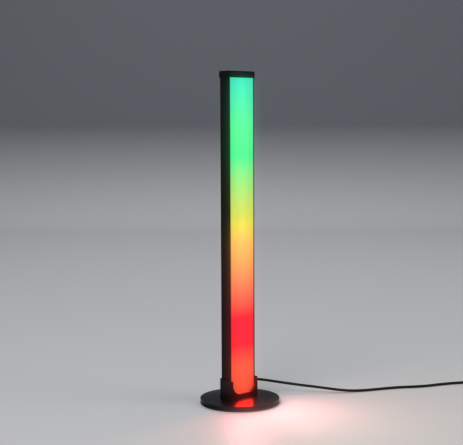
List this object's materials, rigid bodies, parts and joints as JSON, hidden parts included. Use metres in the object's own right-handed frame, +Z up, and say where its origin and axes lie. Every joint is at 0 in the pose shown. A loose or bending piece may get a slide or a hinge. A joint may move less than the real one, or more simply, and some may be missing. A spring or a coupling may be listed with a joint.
{
  "type": "led light bar lamp",
  "caption": "Upright light bar with a black housing and a full-height opal diffuser, standing in a socket on a round weighted base, with a thin power lead.",
  "frame": {"origin": "middle of the round base's underside, on the surface that it stands on", "axes": "+Z up along the bar, -Y out of the glowing face, +X to the right of someone who looks along +Y at that face"},
  "size_m": [0.3794, 0.2515, 0.4167],
  "materials": {
    "base_steel": "satin",
    "base_gloss": "glossy",
    "ballast_iron": "rough",
    "foot_foam": "matte",
    "screw_steel": "brushed",
    "screw_black": "satin",
    "socket_plastic": "satin",
    "pad_rubber": "matte",
    "housing_plastic": "satin",
    "cap_plastic": "satin",
    "diffuser_opal": "satin",
    "board_white": "satin",
    "board_green": "satin",
    "tape_grey": "matte",
    "chip_resin": "glossy",
    "chip_black": "satin",
    "capacitor_tan": "satin",
    "can_blue": "glossy",
    "button_plastic": "satin",
    "wire_jacket": "satin",
    "cable_jacket": "satin",
    "tie_strap": "woven",
    "plug_plastic": "satin",
    "plug_steel": "bright",
    "plug_insulator": "satin",
    "contact_gold": "bright"
  },
  "bodies": {
    "base": {"base_plate": "base_steel", "base_cover": "base_gloss", "base_weight": "ballast_iron", "foot_ring": "foot_foam", "cover_screws": "screw_steel", "socket_screws": "screw_steel", "socket_shell": "socket_plastic", "socket_pad": "pad_rubber", "power_cable": "cable_jacket", "power_cable_coil": "cable_jacket", "cable_tie": "tie_strap", "power_cable_tail": "cable_jacket", "usb_plug_grip": "plug_plastic", "usb_plug_shell": "plug_steel", "usb_plug_tongue": "plug_insulator", "usb_contacts": "contact_gold"},
    "bar": {"rear_housing": "housing_plastic", "diffuser": "diffuser_opal", "top_cap": "cap_plastic", "bottom_cap": "cap_plastic", "top_cap_screws": "screw_black", "bottom_cap_screws": "screw_black", "led_board": "board_white", "board_tape": "tape_grey", "led_chips": "chip_resin", "led_capacitors": "capacitor_tan", "control_board": "board_green", "control_chip": "chip_black", "storage_capacitor": "can_blue", "control_board_screws": "screw_steel", "mode_switch": "chip_black", "supply_leads": "wire_jacket", "strip_leads": "wire_jacket", "strain_relief": "cable_jacket"},
    "mode_button": {"mode_button": "button_plastic"}
  },
  "joints": [
    {"name": "bar_lift", "type": "slide", "parent": "base", "child": "bar", "axis": [0, 0, 1], "range_m": [0, 0.03]},
    {"name": "mode_button_press", "type": "slide", "parent": "bar", "child": "mode_button", "axis": [0, -1, 0], "range_m": [0, 0.0005], "stiffness_N_per_m": 1500, "springref_m": -0.0002}
  ]
}
